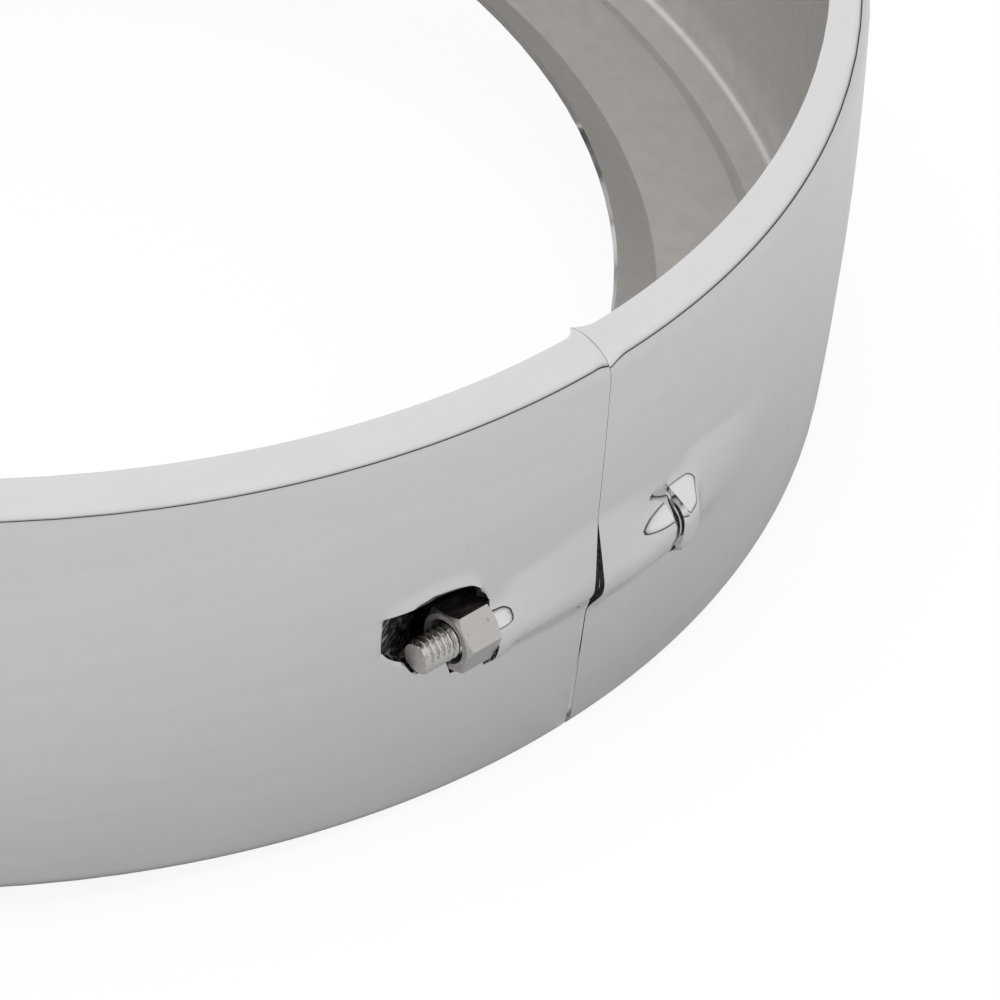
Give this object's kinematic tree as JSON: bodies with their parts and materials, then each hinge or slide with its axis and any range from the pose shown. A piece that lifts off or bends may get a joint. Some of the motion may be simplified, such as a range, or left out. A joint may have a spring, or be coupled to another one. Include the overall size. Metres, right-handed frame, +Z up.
{
  "type": "motorcycle headlight visor",
  "caption": "Round chromed headlight trim ring with a visor peak, split at one side and drawn closed by a small clamp screw and hexagon nut.",
  "frame": {"origin": "centre of the footprint, on the surface the ring lies on face down", "axes": "+Z up, +Y towards the peak, split and clamp screw at -Y; the ring's axis leans 7.5 degrees from +Z because the peak props it up"},
  "size_m": [0.202, 0.2072, 0.0707],
  "materials": {
    "shell_chrome": "mirror chrome plate outside, duller nickel flash inside",
    "screw_steel": "bright zinc plate",
    "nut_steel": "bright nickel plate"
  },
  "bodies": {
    "root": {"visor_shell": "shell_chrome", "clamp_screw": "screw_steel", "clamp_nut": "nut_steel"}
  },
  "joints": []
}
